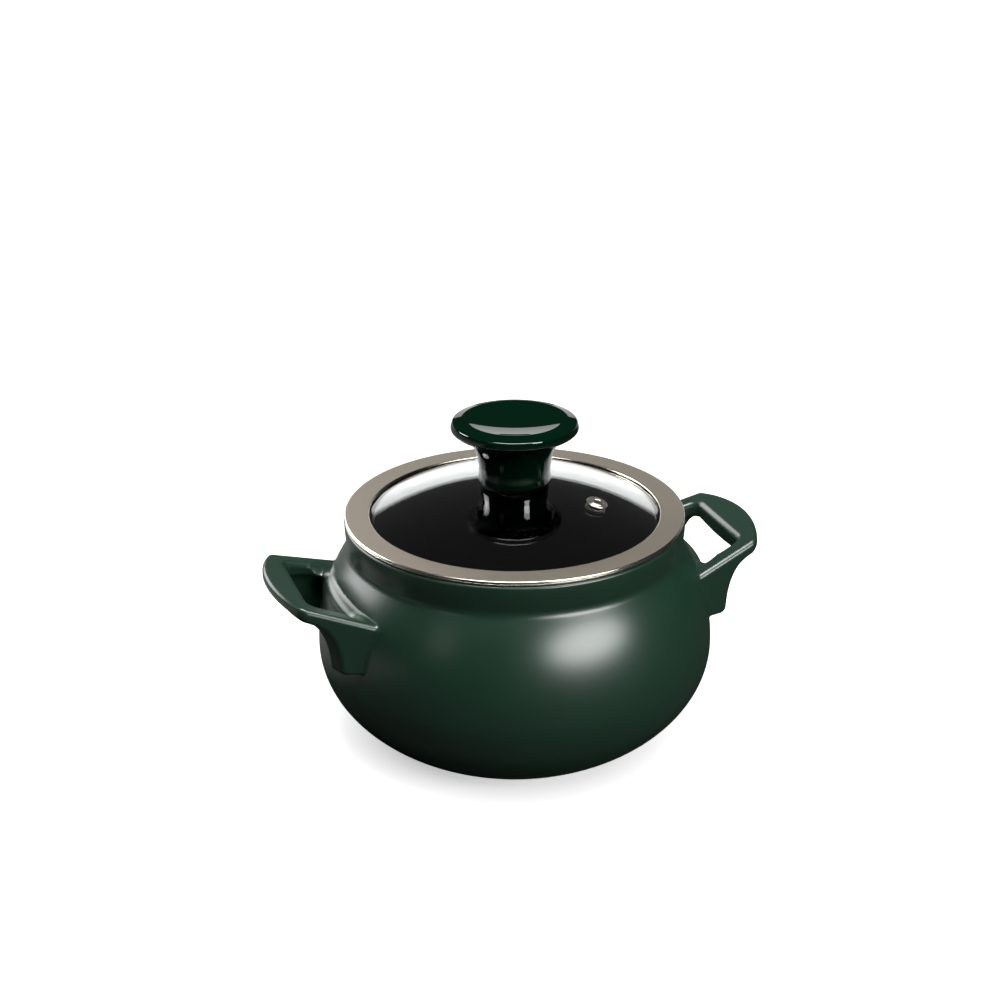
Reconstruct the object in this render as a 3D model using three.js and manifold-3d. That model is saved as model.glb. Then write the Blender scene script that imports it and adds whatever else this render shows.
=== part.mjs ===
// Ceramic cooking pot with two loop handles and a domed glass lid in a rolled steel band.
// Millimetres, +Z up. The origin lies on the table under the middle of the foot,
// the handles lie on X, and the steam vent of the lid looks towards +X and -Y.

import * as THREE from 'three';
import { mergeVertices } from 'three/addons/utils/BufferGeometryUtils.js';
import Module from 'manifold-3d';

const wasm = await Module();
wasm.setup();

// Fit between pieces that seat on each other
const FIT_GAP = 0.3;

// Pot body
const NECK_RADIUS = 85.2;
const BELLY_OVERHANG = 16.3;
const BELLY_HEIGHT = 52;
const SHOULDER_RISE = 51.6;
const RIM_HEIGHT = 119.3;
const NECK_FILLET = 2.4;
const COLLAR_BULGE = 1.7;
const LIP_ROUND = 2.2;
const WALL = 6;
const POT_FLOOR = 8;
const FOOT_RADIUS = 59;
const FOOT_WIDTH = 6;
const FOOT_RECESS = 2;
const FOOT_ROUND = 1.5;

// Loop handles: a plate with a finger hole that climbs outwards, on two corbels
const HANDLE_REACH = 28;
const HANDLE_CORNER_REACH = 18.9;
const HANDLE_CORNER_HEIGHT = 101.5;
const HANDLE_TILT = THREE.MathUtils.degToRad(19.1);
const HANDLE_TIP_WIDTH = 69;
const HANDLE_CORNER_ROUND = 2.5;
const ARM_SPLAY = THREE.MathUtils.degToRad(11.9);
const ARM_WIDTH = 10;
const GRIP_WIDTH = 15;
const PLATE_THICKNESS = 6.2;
const PLATE_EDGE = 1.6;
const WEDGE_SLOPE = 0.27;
const HOLE_ROUND = 4;
const ROOT_LEDGE = 3.4;
const CORBEL_THICKNESS = 8;
const CORBEL_SETBACK = 4;
const CORBEL_TURN = THREE.MathUtils.degToRad(12);
const CORBEL_FOOT_HEIGHT = 64;
const CORBEL_FOOT_REACH = 6.2;
const CORBEL_FOOT_ROUND = 3;

// Shares of the corbel's reach and rise that bend its hollow sweep
const SWEEP_FOOT_REACH = 0.05;
const SWEEP_FOOT_RISE = 0.6;
const SWEEP_HEAD_REACH = 0.4;
const SWEEP_HEAD_DROP = 0.25;

// Lid: glass dome held in a rolled steel band that drops into the mouth
const MOUTH_CLEARANCE = 1.2;
const BAND_SETBACK = 0.9;
const BAND_FLANGE = 2.4;
const BAND_SHEET = 1;
const BAND_ROUND = 0.6;
const BAND_GROOVE = 0.5;
const GLASS_COVER = 3.2;
const FOLD_WIDTH = 2.8;
const GLASS_THICKNESS = 4;
const DOME_RISE = 16.8;
const GLASS_HOLE_RADIUS = 4.5;

// Steam vent: a steel eyelet clinched over a washer under the glass
const VENT_DISTANCE = 43.8;
const VENT_ANGLE = THREE.MathUtils.degToRad(-41.8);
const VENT_FLANGE_RADIUS = 5.3;
const VENT_FLANGE = 1.4;
const VENT_BARREL_RADIUS = 3;
const VENT_BORE_RADIUS = 2;
const VENT_WASHER_RADIUS = 5;
const VENT_WASHER = 0.8;
const VENT_CLINCH_RADIUS = 4;
const VENT_CLINCH = 0.7;

// Knob and its fastening
const KNOB_WAIST_RADIUS = 18.2;
const KNOB_WAIST_HEIGHT = 4;
const KNOB_BASE_ROUND = 0.6;
const KNOB_FLARE = 2.4;
const KNOB_CAP_RADIUS = 32;
const KNOB_RIM = 6.8;
const KNOB_RIM_ROUND = 3.2;
const KNOB_DISH_RADIUS = 24;
const KNOB_DISH = 2.4;
const KNOB_HEIGHT = 32.2;
const KNOB_BORE_DEPTH = 16;
const INSERT_RADIUS = 5;
const INSERT_LENGTH = 14;
const SCREW_RADIUS = 2.5;
const SCREW_GRIP = 10;
const SCREW_HEAD_RADIUS = 5;
const SCREW_HEAD = 3.2;
const SCREW_HEAD_EDGE = 1;
const RECESS_LENGTH = 5.4;
const RECESS_WIDTH = 1.1;
const RECESS_DEPTH = 1.6;
const KNOB_SEAL = 0.8;
const KNOB_SEAL_RADIUS = 17.2;
const LOWER_SEAL = 1.6;
const LOWER_SEAL_RADIUS = 11;
const SLEEVE_WALL = 1;
const SCREW_WASHER = 1.2;
const SCREW_WASHER_RADIUS = 9.5;

// Facets round a full turn
const BODY_FACETS = 52;
const LID_FACETS = 48;
const KNOB_FACETS = 32;
const SMALL_FACETS = 20;

// Places that follow from the sizes above
const bellyRadius = NECK_RADIUS + BELLY_OVERHANG;
const shoulderArc = (SHOULDER_RISE ** 2 + BELLY_OVERHANG ** 2) / (2 * BELLY_OVERHANG);
const shoulderCentre = new THREE.Vector2(bellyRadius - shoulderArc, BELLY_HEIGHT);
const underDepth = BELLY_HEIGHT / Math.sqrt(1 - (FOOT_RADIUS / bellyRadius) ** 2);
const filletCentre = new THREE.Vector2(NECK_RADIUS + NECK_FILLET, 0);
filletCentre.y = BELLY_HEIGHT
  + Math.sqrt((shoulderArc + NECK_FILLET) ** 2 - (filletCentre.x - shoulderCentre.x) ** 2);
const shoulderAngle = filletCentre.clone().sub(shoulderCentre).angle();
const collarRadius = NECK_RADIUS + COLLAR_BULGE;
const lipUnder = RIM_HEIGHT - LIP_ROUND;

const bandUnder = RIM_HEIGHT + FIT_GAP;
const bandTop = bandUnder + BAND_FLANGE;
const bandOuter = collarRadius - BAND_SETBACK;
const skirtOuter = NECK_RADIUS - WALL - MOUTH_CLEARANCE;
const skirtInner = skirtOuter - BAND_SHEET;
const glassRadius = skirtInner - FIT_GAP;
const bandInner = glassRadius - GLASS_COVER;
const glassEdgeTop = bandTop - BAND_SHEET - FIT_GAP;
const glassEdgeUnder = glassEdgeTop - GLASS_THICKNESS;
const domeRadius = (bandInner ** 2 + DOME_RISE ** 2) / (2 * DOME_RISE);
const domeTop = glassEdgeTop + DOME_RISE;
const domeCentre = domeTop - domeRadius;
const domeUnderRadius = domeRadius - GLASS_THICKNESS;
const knobSealTop = domeTop + FIT_GAP + KNOB_SEAL;
const knobBase = knobSealTop + FIT_GAP;
const lowerSealUnder = domeCentre + domeUnderRadius - FIT_GAP - LOWER_SEAL;
const washerTop = lowerSealUnder - FIT_GAP;
const washerUnder = washerTop - SCREW_WASHER;
const headTop = washerUnder - FIT_GAP;
const screwHole = SCREW_RADIUS + FIT_GAP;

// Radius of the pot's shoulder at a height between the belly and the neck
function shoulderRadius(z) {
  return shoulderCentre.x + Math.sqrt(shoulderArc ** 2 - (z - BELLY_HEIGHT) ** 2);
}

// A point list along a circular or elliptical arc in the section plane
function arc(cx, cz, rx, rz, from, to, steps) {
  const points = [];
  for (let i = 0; i <= steps; i += 1) {
    const angle = from + ((to - from) * i) / steps;
    points.push([cx + rx * Math.cos(angle), cz + rz * Math.sin(angle)]);
  }
  return points;
}

// A point list on a sphere about the pot axis, from one distance off the axis to another
function sphereArc(radius, from, to, steps) {
  const points = [];
  for (let i = 0; i <= steps; i += 1) {
    const r = from + ((to - from) * i) / steps;
    points.push([r, domeCentre + Math.sqrt(radius ** 2 - r ** 2)]);
  }
  return points;
}

// Turn a section given as [radius, height] pairs about Z
function revolve(section, facets) {
  const points = section.map(([r, z]) => new THREE.Vector2(r, z));
  const geometry = new THREE.LatheGeometry(points, facets);
  geometry.rotateX(Math.PI / 2);
  return geometry;
}

// A ring's section runs back to its first point
function revolveRing(section, facets) {
  return revolve([...section, section[0]], facets);
}

function toSolid(geometry) {
  const bare = geometry.clone();
  bare.deleteAttribute('normal');
  bare.deleteAttribute('uv');
  const merged = mergeVertices(bare, 1e-4);
  return new wasm.Manifold(new wasm.Mesh({
    numProp: 3,
    vertProperties: new Float32Array(merged.attributes.position.array),
    triVerts: new Uint32Array(merged.index.array),
  }));
}

function toGeometry(solid) {
  const mesh = solid.getMesh();
  const geometry = new THREE.BufferGeometry();
  geometry.setAttribute('position', new THREE.BufferAttribute(new Float32Array(mesh.vertProperties), 3));
  geometry.setIndex(new THREE.BufferAttribute(new Uint32Array(mesh.triVerts), 1));
  geometry.computeVertexNormals();
  return geometry;
}

function material(color, roughness, metalness) {
  return new THREE.MeshStandardMaterial({ color, roughness, metalness });
}

const MATT_GREEN_GLAZE = material(0x1c3527, 0.45, 0);
const GLOSS_GREEN_GLAZE = material(0x06261a, 0.08, 0);
const TEMPERED_GLASS = material(0xdfe8e4, 0.03, 0);
const BRUSHED_STEEL = material(0xa79f90, 0.3, 1);
const BRIGHT_STEEL = material(0xc4c0b8, 0.18, 1);
const BLACK_SILICONE = material(0x161616, 0.6, 0);
const BRASS = material(0xb08d4a, 0.35, 1);

function part(name, geometry, finish) {
  const mesh = new THREE.Mesh(geometry, finish);
  mesh.name = name;
  return mesh;
}

// The collar swells from the crease at the neck to the lip
function collar(clearance, steps) {
  const points = [];
  const rise = lipUnder - filletCentre.y;
  for (let i = 1; i <= steps; i += 1) {
    const swell = COLLAR_BULGE * Math.sin((i / steps) * (Math.PI / 2));
    points.push([NECK_RADIUS + swell + clearance, filletCentre.y + (rise * i) / steps]);
  }
  return points;
}

// The outer skin of the pot from the foot to the start of the lip, moved out by a clearance
function outerSkin(clearance) {
  const footAngle = Math.asin(-BELLY_HEIGHT / underDepth);
  return [
    ...arc(0, BELLY_HEIGHT, bellyRadius + clearance, underDepth + clearance, footAngle, 0, 9),
    ...arc(shoulderCentre.x, shoulderCentre.y, shoulderArc + clearance, shoulderArc + clearance,
      0, shoulderAngle, 6).slice(1),
    ...arc(filletCentre.x, filletCentre.y, NECK_FILLET - clearance, NECK_FILLET - clearance,
      shoulderAngle + Math.PI, Math.PI, 3).slice(1),
    ...collar(clearance, 4),
  ];
}

function potBody() {
  const mouth = NECK_RADIUS - WALL;
  const innerUnder = underDepth - WALL;
  const floorAngle = Math.asin((POT_FLOOR - BELLY_HEIGHT) / innerUnder);
  const skin = outerSkin(0).slice(1);
  const section = [
    [0, FOOT_RECESS],
    [FOOT_RADIUS - FOOT_WIDTH - FOOT_RECESS, FOOT_RECESS],
    [FOOT_RADIUS - FOOT_WIDTH, 0],
    [FOOT_RADIUS - FOOT_ROUND, 0],
    [FOOT_RADIUS, FOOT_ROUND / 2],
    ...skin,
    ...arc(collarRadius - LIP_ROUND, lipUnder, LIP_ROUND, LIP_ROUND, 0, Math.PI / 2, 2).slice(1),
    ...arc(mouth + LIP_ROUND, lipUnder, LIP_ROUND, LIP_ROUND, Math.PI / 2, Math.PI, 2),
    ...arc(filletCentre.x, filletCentre.y, NECK_FILLET + WALL, NECK_FILLET + WALL,
      Math.PI, shoulderAngle + Math.PI, 3),
    ...arc(shoulderCentre.x, shoulderCentre.y, shoulderArc - WALL, shoulderArc - WALL,
      shoulderAngle, 0, 5).slice(1),
    ...arc(0, BELLY_HEIGHT, bellyRadius - WALL, innerUnder, 0, floorAngle, 6).slice(1),
    [0, POT_FLOOR],
  ];
  return part('pot_body', revolve(section, BODY_FACETS), MATT_GREEN_GLAZE);
}

// Everything that the pot fills, with a clearance, to trim the roots of the handles
function potCore() {
  const skin = outerSkin(FIT_GAP);
  const section = [[0, skin[0][1]], ...skin, [0, skin[skin.length - 1][1]]];
  return toSolid(revolve(section, BODY_FACETS));
}

// Extrude an outline along +Z with rounded upper and lower edges
function roundedPlate(outline, thickness, edge) {
  const geometry = new THREE.ExtrudeGeometry(outline, {
    depth: thickness - 2 * edge,
    bevelEnabled: true,
    bevelThickness: edge,
    bevelSize: edge,
    bevelOffset: -edge,
    bevelSegments: 2,
    curveSegments: 4,
  });
  geometry.translate(0, 0, edge);
  return geometry;
}

// Replace a corner of an outline by a circular arc that touches both of its sides
function roundCorner(path, corner, before, after, radius) {
  const back = before.clone().sub(corner).normalize();
  const ahead = after.clone().sub(corner).normalize();
  const half = Math.acos(THREE.MathUtils.clamp(back.dot(ahead), -1, 1)) / 2;
  const reach = radius / Math.tan(half);
  const centre = back.clone().add(ahead).setLength(radius / Math.sin(half)).add(corner);
  const start = corner.clone().addScaledVector(back, reach).sub(centre);
  const end = corner.clone().addScaledVector(ahead, reach).sub(centre);
  path.lineTo(centre.x + start.x, centre.y + start.y);
  path.absarc(centre.x, centre.y, radius, start.angle(), end.angle(), start.cross(end) < 0);
}

// One handle on the +X side, in pot coordinates
function handleSolid(core) {
  const cornerX = bellyRadius + HANDLE_CORNER_REACH;
  const tipX = bellyRadius + HANDLE_REACH;
  const rootX = NECK_RADIUS - WALL;
  const tipHalf = HANDLE_TIP_WIDTH / 2;
  const taper = Math.tan(ARM_SPLAY);
  const halfAt = (x) => tipHalf + (cornerX - x) * taper;

  // The plate's outline from above: straight arms that close in, and a bowed grip between their ends
  const bulge = tipX - cornerX;
  const bow = (tipHalf ** 2 + bulge ** 2) / (2 * bulge);
  const bowCentre = tipX - bow;
  const bowSweep = Math.asin(tipHalf / bow);
  const bowEnd = bowSweep - 2 * HANDLE_CORNER_ROUND / bow;
  const nearRoot = new THREE.Vector2(rootX, -halfAt(rootX));
  const nearCorner = new THREE.Vector2(cornerX, -tipHalf);
  const nearBow = new THREE.Vector2(bowCentre + bow * Math.cos(bowEnd), -bow * Math.sin(bowEnd));
  const mirror = (point) => new THREE.Vector2(point.x, -point.y);
  const outline = new THREE.Shape();
  outline.moveTo(nearRoot.x, nearRoot.y);
  roundCorner(outline, nearCorner, nearRoot, nearBow, HANDLE_CORNER_ROUND);
  outline.absarc(bowCentre, 0, bow, -bowEnd, bowEnd, false);
  roundCorner(outline, mirror(nearCorner), mirror(nearBow), mirror(nearRoot), HANDLE_CORNER_ROUND);
  outline.lineTo(nearRoot.x, -nearRoot.y);

  // The finger hole: straight along the grip, splayed along the arms, round along the shoulder
  const gripX = tipX - GRIP_WIDTH;
  const plateRise = Math.tan(HANDLE_TILT);
  const ledgeRadius = shoulderRadius(HANDLE_CORNER_HEIGHT - (cornerX - NECK_RADIUS) * plateRise) + ROOT_LEDGE;
  const holeHalfAt = (x) => halfAt(x) - ARM_WIDTH;
  const ledgeHalf = holeHalfAt(NECK_RADIUS);
  const ledgeX = Math.sqrt(ledgeRadius ** 2 - ledgeHalf ** 2);
  const ledgeSweep = Math.asin(ledgeHalf / ledgeRadius);
  const nearLedge = new THREE.Vector2(ledgeX, -ledgeHalf);
  const nearGrip = new THREE.Vector2(gripX, -holeHalfAt(gripX));
  const hole = new THREE.Path();
  hole.moveTo(nearLedge.x, nearLedge.y);
  roundCorner(hole, nearGrip, nearLedge, mirror(nearGrip), HOLE_ROUND);
  for (const share of [-0.5, 0, 0.5]) {
    hole.lineTo(gripX, share * holeHalfAt(gripX));
  }
  roundCorner(hole, mirror(nearGrip), nearGrip, mirror(nearLedge), HOLE_ROUND);
  hole.lineTo(nearLedge.x, -nearLedge.y);
  hole.absarc(0, 0, ledgeRadius, ledgeSweep, -ledgeSweep, true);
  outline.holes.push(hole);

  // The plate is a wedge: its underside deepens from the outer edge to the hole, less so near the ledge
  const plate = roundedPlate(outline, PLATE_THICKNESS, PLATE_EDGE);
  const places = plate.attributes.position;
  for (let i = 0; i < places.count; i += 1) {
    const x = places.getX(i);
    const y = places.getY(i);
    const z = places.getZ(i);
    const fromArm = (halfAt(x) - Math.abs(y)) * Math.cos(ARM_SPLAY);
    const fromBow = bow - Math.hypot(x - bowCentre, y);
    const inward = THREE.MathUtils.clamp(Math.min(fromArm, fromBow), 0, GRIP_WIDTH);
    const fade = THREE.MathUtils.clamp((x - ledgeX) / (gripX - ledgeX), 0, 1);
    if (z < PLATE_THICKNESS / 2) {
      places.setZ(i, z - WEDGE_SLOPE * inward * fade);
    }
  }

  // It stands on upright sides and climbs outwards
  plate.translate(-cornerX, 0, HANDLE_CORNER_HEIGHT - PLATE_THICKNESS);
  plate.applyMatrix4(new THREE.Matrix4().makeShear(0, plateRise, 0, 0, 0, 0));
  plate.translate(cornerX, 0, 0);
  let solid = toSolid(plate);

  // A corbel under each arm: a hollow sweep from the plate's corner to a blunt foot on the belly.
  // It reaches further out towards the middle of the handle.
  const plateUnder = (x) => HANDLE_CORNER_HEIGHT + (x - cornerX) * plateRise - PLATE_THICKNESS;
  const headX = cornerX - CORBEL_SETBACK;
  const footReach = Math.sqrt((bellyRadius + CORBEL_FOOT_REACH) ** 2 - tipHalf ** 2);
  const sweepRise = plateUnder(headX) - CORBEL_FOOT_HEIGHT;
  const sweepReach = headX - footReach;
  const footCorner = new THREE.Vector2(footReach, CORBEL_FOOT_HEIGHT);
  const footRoot = new THREE.Vector2(rootX, CORBEL_FOOT_HEIGHT);
  const aboveFoot = new THREE.Vector2(footReach, plateUnder(headX));
  const side = new THREE.Shape();
  side.moveTo(footRoot.x, footRoot.y);
  roundCorner(side, footCorner, footRoot, aboveFoot, CORBEL_FOOT_ROUND);
  side.bezierCurveTo(
    footReach + SWEEP_FOOT_REACH * sweepReach, CORBEL_FOOT_HEIGHT + SWEEP_FOOT_RISE * sweepRise,
    footReach + SWEEP_HEAD_REACH * sweepReach, plateUnder(headX) - SWEEP_HEAD_DROP * sweepReach,
    headX, plateUnder(headX),
  );
  const lap = PLATE_THICKNESS - PLATE_EDGE;
  side.lineTo(headX, plateUnder(headX) + lap);
  side.lineTo(rootX, plateUnder(rootX) + lap);
  const skew = taper + Math.tan(CORBEL_TURN);
  for (const sign of [-1, 1]) {
    const corbel = roundedPlate(side, CORBEL_THICKNESS, PLATE_EDGE);
    corbel.rotateX(Math.PI / 2);
    corbel.translate(-cornerX, sign > 0 ? 0 : CORBEL_THICKNESS, 0);
    corbel.applyMatrix4(new THREE.Matrix4().makeShear(0, 0, -sign * skew, 0, 0, 0));
    corbel.rotateZ(-sign * ARM_SPLAY);
    corbel.translate(cornerX, sign * tipHalf, 0);
    solid = solid.add(toSolid(corbel));
  }
  return solid.subtract(core);
}

function handles() {
  const right = toGeometry(handleSolid(potCore()));
  const left = right.clone();
  left.rotateZ(Math.PI);
  return [
    part('right_handle', right, MATT_GREEN_GLAZE),
    part('left_handle', left, MATT_GREEN_GLAZE),
  ];
}

function lidRimBand() {
  const grooveTop = bandTop - BAND_FLANGE / 2;
  const foldTop = glassEdgeUnder - FIT_GAP;
  const foldUnder = foldTop - BAND_SHEET;
  const section = [
    ...arc(bandOuter - BAND_ROUND, bandTop - BAND_ROUND, BAND_ROUND, BAND_ROUND, Math.PI / 2, 0, 2),
    [bandOuter, grooveTop + BAND_GROOVE / 2],
    [bandOuter - BAND_GROOVE, grooveTop],
    [bandOuter, grooveTop - BAND_GROOVE / 2],
    [bandOuter, bandUnder + BAND_GROOVE],
    [bandOuter - BAND_GROOVE, bandUnder],
    [skirtOuter + BAND_ROUND, bandUnder],
    [skirtOuter, bandUnder - BAND_ROUND],
    [skirtOuter, foldUnder + BAND_ROUND],
    [skirtOuter - BAND_ROUND, foldUnder],
    [skirtInner - FOLD_WIDTH, foldUnder],
    [skirtInner - FOLD_WIDTH, foldTop],
    [skirtInner, foldTop],
    [skirtInner, bandTop - BAND_SHEET],
    [bandInner + BAND_ROUND / 2, bandTop - BAND_SHEET],
    [bandInner, bandTop - BAND_SHEET / 2],
    [bandInner + BAND_ROUND / 2, bandTop],
  ].reverse();
  return part('lid_rim_band', revolveRing(section, LID_FACETS), BRUSHED_STEEL);
}

// The vent's own axis stands square on the dome
function ventFrame() {
  const tilt = Math.asin(VENT_DISTANCE / domeRadius);
  const frame = new THREE.Group();
  frame.position.set(0, 0, domeCentre);
  frame.rotation.set(0, tilt, VENT_ANGLE, 'ZYX');
  return frame;
}

function lidGlass() {
  const underEdge = Math.sqrt(domeUnderRadius ** 2 - (glassEdgeUnder - domeCentre) ** 2);
  const section = [
    ...sphereArc(domeUnderRadius, GLASS_HOLE_RADIUS, underEdge, 6),
    [glassRadius, glassEdgeUnder],
    [glassRadius, glassEdgeTop],
    ...sphereArc(domeRadius, bandInner, GLASS_HOLE_RADIUS, 7),
  ];
  const holeRadius = VENT_BARREL_RADIUS + FIT_GAP;
  const drill = new THREE.CylinderGeometry(holeRadius, holeRadius, 4 * GLASS_THICKNESS, SMALL_FACETS);
  drill.rotateX(Math.PI / 2);
  drill.translate(0, 0, domeRadius - GLASS_THICKNESS / 2);
  const frame = ventFrame();
  frame.updateMatrixWorld();
  drill.applyMatrix4(frame.matrixWorld);
  const glass = toSolid(revolveRing(section, LID_FACETS)).subtract(toSolid(drill));
  return part('lid_glass', toGeometry(glass), TEMPERED_GLASS);
}

function ventPieces() {
  const flangeUnder = domeRadius + FIT_GAP;
  const flangeTop = flangeUnder + VENT_FLANGE;
  const washerFace = domeUnderRadius - FIT_GAP;
  const clinchTop = washerFace - VENT_WASHER - FIT_GAP;
  const clinchUnder = clinchTop - VENT_CLINCH;
  const eyelet = [
    [VENT_BORE_RADIUS, clinchUnder],
    [VENT_CLINCH_RADIUS - VENT_CLINCH / 2, clinchUnder],
    [VENT_CLINCH_RADIUS, clinchTop],
    [VENT_BARREL_RADIUS, clinchTop],
    [VENT_BARREL_RADIUS, flangeUnder],
    [VENT_FLANGE_RADIUS, flangeUnder],
    [VENT_FLANGE_RADIUS, flangeUnder + VENT_FLANGE / 2],
    [VENT_FLANGE_RADIUS - VENT_FLANGE / 2, flangeTop],
    [VENT_BORE_RADIUS + VENT_FLANGE / 2, flangeTop],
    [VENT_BORE_RADIUS, flangeTop - VENT_FLANGE / 2],
  ];
  const washerBore = VENT_BARREL_RADIUS + FIT_GAP;
  const washer = [
    [washerBore, washerFace - VENT_WASHER],
    [VENT_WASHER_RADIUS, washerFace - VENT_WASHER],
    [VENT_WASHER_RADIUS, washerFace],
    [washerBore, washerFace],
  ];
  const frame = ventFrame();
  frame.add(part('vent_eyelet', revolveRing(eyelet, SMALL_FACETS), BRIGHT_STEEL));
  frame.add(part('vent_washer', revolveRing(washer, SMALL_FACETS), BRIGHT_STEEL));
  return frame;
}

// A mushroom knob: waisted stem, trumpet flare, rounded rim and a shallow dish on top
function knob() {
  const top = knobBase + KNOB_HEIGHT;
  const rimUnder = top - KNOB_RIM;
  const boreRadius = INSERT_RADIUS + FIT_GAP;
  const rimCentre = KNOB_CAP_RADIUS - KNOB_RIM_ROUND;
  const crest = (KNOB_DISH_RADIUS + rimCentre) / 2;
  const flare = new THREE.CubicBezierCurve(
    new THREE.Vector2(KNOB_WAIST_RADIUS, knobBase + KNOB_WAIST_HEIGHT),
    new THREE.Vector2(KNOB_WAIST_RADIUS, (knobBase + KNOB_WAIST_HEIGHT + rimUnder) / 2),
    new THREE.Vector2(KNOB_WAIST_RADIUS + KNOB_FLARE, rimUnder - 2 * KNOB_FLARE),
    new THREE.Vector2(rimCentre, rimUnder),
  );
  const section = [
    [0, knobBase + KNOB_BORE_DEPTH],
    [boreRadius, knobBase + KNOB_BORE_DEPTH],
    [boreRadius, knobBase],
    [KNOB_WAIST_RADIUS - KNOB_BASE_ROUND, knobBase],
    [KNOB_WAIST_RADIUS, knobBase + KNOB_BASE_ROUND],
    ...flare.getPoints(8).map((point) => [point.x, point.y]),
    ...arc(rimCentre, top - KNOB_RIM_ROUND, KNOB_RIM_ROUND, KNOB_RIM_ROUND, -Math.PI / 4, Math.PI / 2.4, 5),
    [crest, top],
  ];
  for (const share of [1, 0.7, 0.35]) {
    section.push([KNOB_DISH_RADIUS * share, top - KNOB_DISH * (1 - share ** 2)]);
  }
  section.push([0, top - KNOB_DISH]);
  return part('knob', revolve(section, KNOB_FACETS), GLOSS_GREEN_GLAZE);
}

function knobInsert() {
  const section = [
    [screwHole, knobBase + FIT_GAP],
    [INSERT_RADIUS, knobBase + FIT_GAP],
    [INSERT_RADIUS, knobBase + INSERT_LENGTH],
    [screwHole, knobBase + INSERT_LENGTH],
  ];
  return part('knob_insert', revolveRing(section, SMALL_FACETS), BRASS);
}

function knobSeal() {
  const section = [
    ...sphereArc(domeRadius + FIT_GAP, GLASS_HOLE_RADIUS, KNOB_SEAL_RADIUS, 4),
    [KNOB_SEAL_RADIUS, knobSealTop],
    [GLASS_HOLE_RADIUS, knobSealTop],
  ];
  return part('knob_seal', revolveRing(section, KNOB_FACETS), BLACK_SILICONE);
}

// The lower seal's sleeve stands in the hole of the glass and keeps the screw off it
function lowerSeal() {
  const sleeveRadius = screwHole + SLEEVE_WALL;
  const sleeveTop = domeTop - FIT_GAP;
  const section = [
    [screwHole, lowerSealUnder],
    [LOWER_SEAL_RADIUS, lowerSealUnder],
    ...sphereArc(domeUnderRadius - FIT_GAP, LOWER_SEAL_RADIUS, sleeveRadius, 3),
    [sleeveRadius, sleeveTop],
    [screwHole, sleeveTop],
  ];
  return part('lower_seal', revolveRing(section, SMALL_FACETS), BLACK_SILICONE);
}

function screwWasher() {
  const section = [
    [screwHole, washerUnder],
    [SCREW_WASHER_RADIUS, washerUnder],
    [SCREW_WASHER_RADIUS, washerTop],
    [screwHole, washerTop],
  ];
  return part('screw_washer', revolveRing(section, SMALL_FACETS), BRIGHT_STEEL);
}

// A pan-head screw with a cross recess, driven up from inside the lid
function knobScrew() {
  const section = [
    ...arc(0, headTop - SCREW_HEAD_EDGE, SCREW_HEAD_RADIUS, SCREW_HEAD - SCREW_HEAD_EDGE, -Math.PI / 2, 0, 4),
    [SCREW_HEAD_RADIUS, headTop],
    [SCREW_RADIUS, headTop],
    [SCREW_RADIUS, knobBase + SCREW_GRIP],
    [0, knobBase + SCREW_GRIP],
  ];
  let solid = toSolid(revolve(section, SMALL_FACETS));
  for (const turn of [0, Math.PI / 2]) {
    const slot = new THREE.BoxGeometry(RECESS_LENGTH, RECESS_WIDTH, 2 * RECESS_DEPTH);
    slot.rotateZ(turn);
    slot.translate(0, 0, headTop - SCREW_HEAD);
    solid = solid.subtract(toSolid(slot));
  }
  return part('knob_screw', toGeometry(solid), BRIGHT_STEEL);
}

const pot = new THREE.Group();
pot.add(potBody(), ...handles());

const lid = new THREE.Group();
lid.add(lidGlass(), lidRimBand(), ventPieces());
lid.add(knob(), knobInsert(), knobSeal(), lowerSeal(), screwWasher(), knobScrew());

const cookingPot = new THREE.Group();
cookingPot.add(pot, lid);

export default cookingPot;
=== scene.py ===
"""A ceramic cooking pot with a domed glass lid: the looks of the part. Blender 4.5, metres, +Z up."""

import math

import bpy
import numpy as np
from mathutils import Matrix, Vector


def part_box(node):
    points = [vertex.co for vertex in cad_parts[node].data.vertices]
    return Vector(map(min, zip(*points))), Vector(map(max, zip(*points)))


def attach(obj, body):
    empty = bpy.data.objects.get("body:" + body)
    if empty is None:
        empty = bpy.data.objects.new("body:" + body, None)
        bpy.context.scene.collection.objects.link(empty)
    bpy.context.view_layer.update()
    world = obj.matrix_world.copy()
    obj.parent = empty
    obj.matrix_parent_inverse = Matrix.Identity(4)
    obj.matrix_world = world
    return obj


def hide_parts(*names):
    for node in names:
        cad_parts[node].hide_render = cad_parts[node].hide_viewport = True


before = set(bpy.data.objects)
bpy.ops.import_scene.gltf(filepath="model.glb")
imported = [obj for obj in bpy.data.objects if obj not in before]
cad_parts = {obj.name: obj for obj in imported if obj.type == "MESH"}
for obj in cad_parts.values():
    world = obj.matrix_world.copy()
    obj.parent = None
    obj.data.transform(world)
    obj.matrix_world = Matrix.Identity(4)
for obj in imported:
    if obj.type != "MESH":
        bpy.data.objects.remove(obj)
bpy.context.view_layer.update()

MM = 0.001


def outer(node):
    """Lowest and highest corner of a CAD node, in millimetres."""
    low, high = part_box(node)
    return low / MM, high / MM


# Sizes in millimetres. The outer ones come from the frame, the others are the part's own.
GAP = 0.3
BELLY_RADIUS = outer("pot_body")[1].x
RIM_HEIGHT = outer("pot_body")[1].z
NECK_RADIUS = 85.2
BELLY_HEIGHT = 52.0
SHOULDER_RISE = 51.6
NECK_FILLET = 7.0
COLLAR_BULGE = 1.1
LIP_ROUND = 1.4
WALL = 6.0
POT_FLOOR = 8.0
FOOT_RADIUS = 59.0
FOOT_WIDTH = 6.0
FOOT_RECESS = 2.0
FOOT_ROUND = 0.8
FOOT_BEVEL = 0.9
FOOT_BEVEL_HEIGHT = 1.0
FOOT_BEVEL_ROUND = 0.7
BARE_HEIGHT = 0.45

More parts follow.
